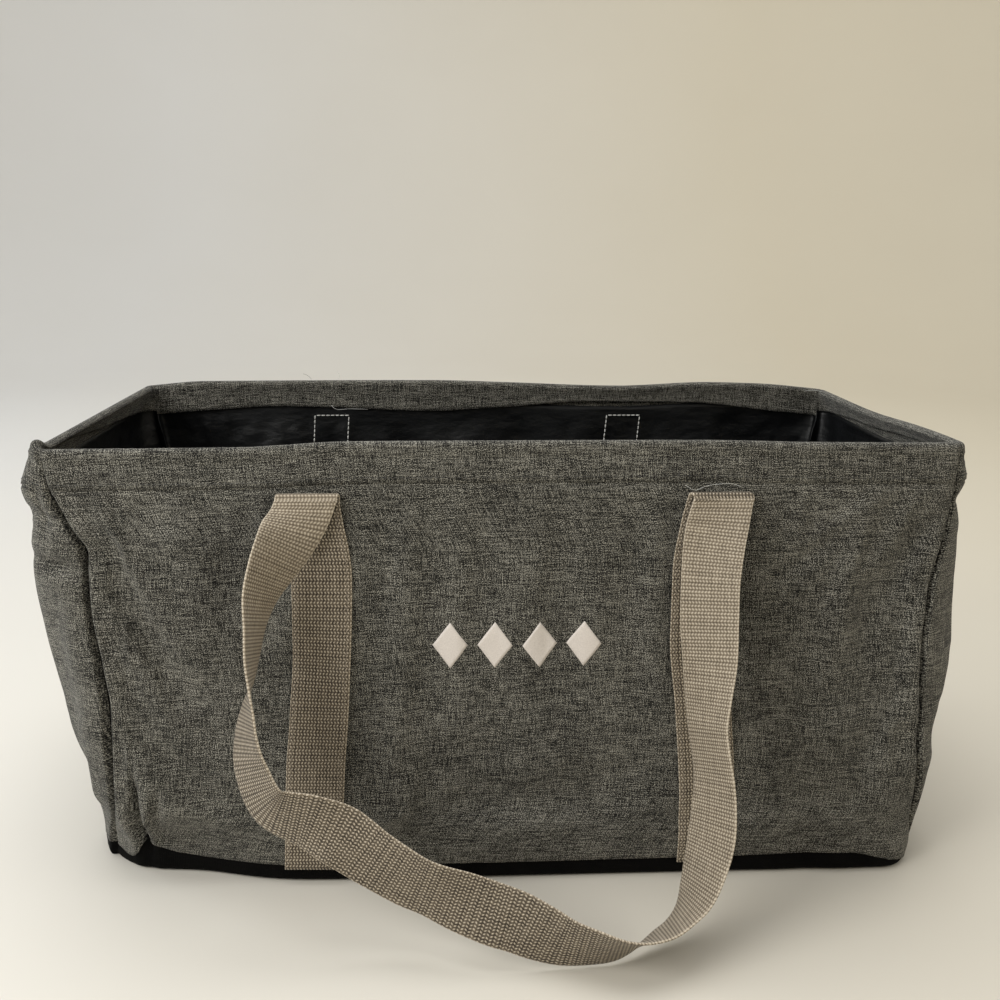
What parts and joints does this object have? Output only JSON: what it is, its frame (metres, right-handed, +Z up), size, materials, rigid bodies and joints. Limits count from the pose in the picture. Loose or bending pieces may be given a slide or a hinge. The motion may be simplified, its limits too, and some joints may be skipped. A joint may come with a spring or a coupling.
{
  "type": "foldable tote bag",
  "caption": "Open-topped rectangular fabric tote held open by a wire in its rim, with a long webbing handle loop on each long side and a stiff base.",
  "frame": {"origin": "centre of the base's underside, on the surface the bag stands on", "axes": "+X along the bag's length, -Y is the printed front, +Z up"},
  "size_m": [0.57, 0.4656, 0.286],
  "materials": {
    "heather_fabric": "matte woven heather polyester",
    "black_base_fabric": "matte woven",
    "coated_lining": "smooth, slightly glossy coated cloth",
    "webbing": "heavy plain-woven webbing",
    "taupe_thread": "sewing thread",
    "grey_thread": "sewing thread",
    "white_thread": "sewing thread",
    "white_print": "matte transfer print",
    "board_plastic": "matte sheet",
    "spring_steel": "drawn wire",
    "ferrule_steel": "crimped tube"
  },
  "bodies": {
    "base": {"base_panel": "black_base_fabric", "base_lining": "coated_lining", "front_panel": "heather_fabric", "back_panel": "heather_fabric", "left_gusset": "heather_fabric", "right_gusset": "heather_fabric", "front_lining": "coated_lining", "back_lining": "coated_lining", "left_lining": "coated_lining", "right_lining": "coated_lining", "front_left_strap": "webbing", "front_right_strap": "webbing", "back_left_strap": "webbing", "back_right_strap": "webbing", "front_strap_stitching": "taupe_thread", "back_strap_stitching": "taupe_thread", "front_box_stitching": "white_thread", "back_box_stitching": "white_thread", "front_print": "white_print"},
    "base_insert": {"base_board": "board_plastic", "base_board_sleeve": "black_base_fabric"},
    "rim": {"rim_casing_front": "heather_fabric", "rim_casing_back": "heather_fabric", "rim_casing_left": "heather_fabric", "rim_casing_right": "heather_fabric", "wire_frame": "spring_steel", "wire_ferrule": "ferrule_steel", "hem_stitching": "grey_thread"},
    "front_handle": {"front_handle_webbing": "webbing"},
    "back_handle": {"back_handle_webbing": "webbing"}
  },
  "joints": [
    {"name": "bag_collapse", "type": "slide", "parent": "base", "child": "rim", "axis": [0, 0, 1], "range_m": [-0.23, 0], "deforming": ["front_panel", "back_panel", "left_gusset", "right_gusset", "front_lining", "back_lining", "left_lining", "right_lining", "front_left_strap", "front_right_strap", "back_left_strap", "back_right_strap", "front_strap_stitching", "back_strap_stitching", "front_box_stitching", "back_box_stitching", "front_print"]},
    {"name": "front_handle_swing", "type": "hinge", "parent": "rim", "child": "front_handle", "pos_m": [0, -0.136, 0.256], "axis": [-1, 0, 0], "range_deg": [0, 150]},
    {"name": "back_handle_swing", "type": "hinge", "parent": "rim", "child": "back_handle", "pos_m": [0, 0.136, 0.256], "axis": [1, 0, 0], "range_deg": [0, 150]},
    {"name": "base_board_lift", "type": "slide", "parent": "base", "child": "base_insert", "axis": [0, 0, 1], "range_m": [0, 0.32]}
  ]
}
